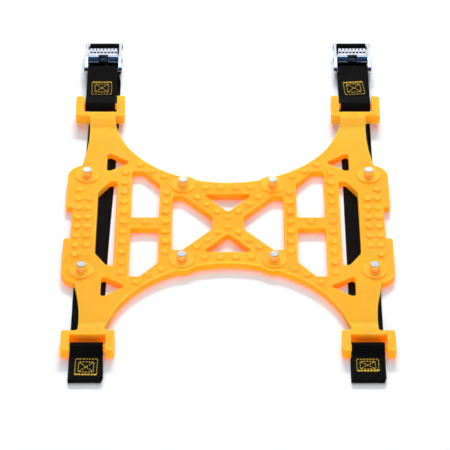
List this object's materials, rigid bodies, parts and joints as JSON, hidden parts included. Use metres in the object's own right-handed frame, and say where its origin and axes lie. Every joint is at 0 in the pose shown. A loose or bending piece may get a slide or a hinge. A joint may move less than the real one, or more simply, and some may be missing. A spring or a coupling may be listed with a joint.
{
  "type": "strap-on studded traction plate",
  "caption": "Flexible lattice traction plate with four slotted arms, raised nubs and steel studs, held on by two webbing straps with cam buckles.",
  "frame": {"origin": "centre of the plate's flat underside, midway between the straps and between the front and back bars", "axes": "+Z out of the studded face, +Y towards the buckles, +X to the right seen from above with the buckles at the back"},
  "size_m": [0.2618, 0.4324, 0.0171],
  "materials": {
    "amber_rubber": "satin",
    "webbing": "matte",
    "thread": "satin",
    "stud_steel": "polished",
    "buckle_steel": "polished",
    "pin_steel": "satin",
    "spring_steel": "satin"
  },
  "bodies": {
    "plate": {"plate": "amber_rubber", "stud_inner_back_right": "stud_steel", "stud_inner_back_left": "stud_steel", "stud_inner_front_right": "stud_steel", "stud_inner_front_left": "stud_steel", "stud_outer_back_right": "stud_steel", "stud_outer_back_left": "stud_steel", "stud_outer_front_right": "stud_steel", "stud_outer_front_left": "stud_steel", "strap_run_left": "webbing", "strap_run_right": "webbing"},
    "front_loop_left": {"strap_front_left": "webbing", "stitch_front_left": "thread"},
    "buckle_loop_left": {"buckle_strap_left": "webbing", "stitch_back_left": "thread", "strap_link_left": "webbing"},
    "buckle_left": {"buckle_frame_left": "buckle_steel", "buckle_crossbar_left": "pin_steel", "buckle_far_bar_left": "pin_steel", "buckle_axle_left": "pin_steel", "cam_spring_left": "spring_steel", "strap_tail_left": "webbing"},
    "lever_left": {"cam_lever_left": "buckle_steel"},
    "front_loop_right": {"strap_front_right": "webbing", "stitch_front_right": "thread"},
    "buckle_loop_right": {"buckle_strap_right": "webbing", "stitch_back_right": "thread", "strap_link_right": "webbing"},
    "buckle_right": {"buckle_frame_right": "buckle_steel", "buckle_crossbar_right": "pin_steel", "buckle_far_bar_right": "pin_steel", "buckle_axle_right": "pin_steel", "cam_spring_right": "spring_steel", "strap_tail_right": "webbing"},
    "lever_right": {"cam_lever_right": "buckle_steel"}
  },
  "joints": [
    {"name": "front_loop_swing_left", "type": "hinge", "parent": "plate", "child": "front_loop_left", "pos_m": [-0.107, -0.152, 0.0047], "axis": [-1, 0, 0], "range_deg": [0, 100]},
    {"name": "buckle_loop_swing_left", "type": "hinge", "parent": "plate", "child": "buckle_loop_left", "pos_m": [-0.107, 0.15089, 0.01037], "axis": [1, 0, 0], "range_deg": [0, 100]},
    {"name": "buckle_swing_left", "type": "hinge", "parent": "buckle_loop_left", "child": "buckle_left", "pos_m": [-0.107, 0.2085, 0.007], "axis": [1, 0, 0], "range_deg": [0, 80]},
    {"name": "cam_release_left", "type": "hinge", "parent": "buckle_left", "child": "lever_left", "pos_m": [-0.107, 0.2205, 0.0087], "axis": [-1, 0, 0], "range_deg": [0, 28], "stiffness_Nm_per_rad": 0.03, "springref_deg": -17.19},
    {"name": "front_loop_swing_right", "type": "hinge", "parent": "plate", "child": "front_loop_right", "pos_m": [0.107, -0.152, 0.0047], "axis": [-1, 0, 0], "range_deg": [0, 100]},
    {"name": "buckle_loop_swing_right", "type": "hinge", "parent": "plate", "child": "buckle_loop_right", "pos_m": [0.107, 0.15089, 0.01037], "axis": [1, 0, 0], "range_deg": [0, 100]},
    {"name": "buckle_swing_right", "type": "hinge", "parent": "buckle_loop_right", "child": "buckle_right", "pos_m": [0.107, 0.2085, 0.007], "axis": [1, 0, 0], "range_deg": [0, 80]},
    {"name": "cam_release_right", "type": "hinge", "parent": "buckle_right", "child": "lever_right", "pos_m": [0.107, 0.2205, 0.0087], "axis": [-1, 0, 0], "range_deg": [0, 28], "stiffness_Nm_per_rad": 0.03, "springref_deg": -17.19}
  ]
}
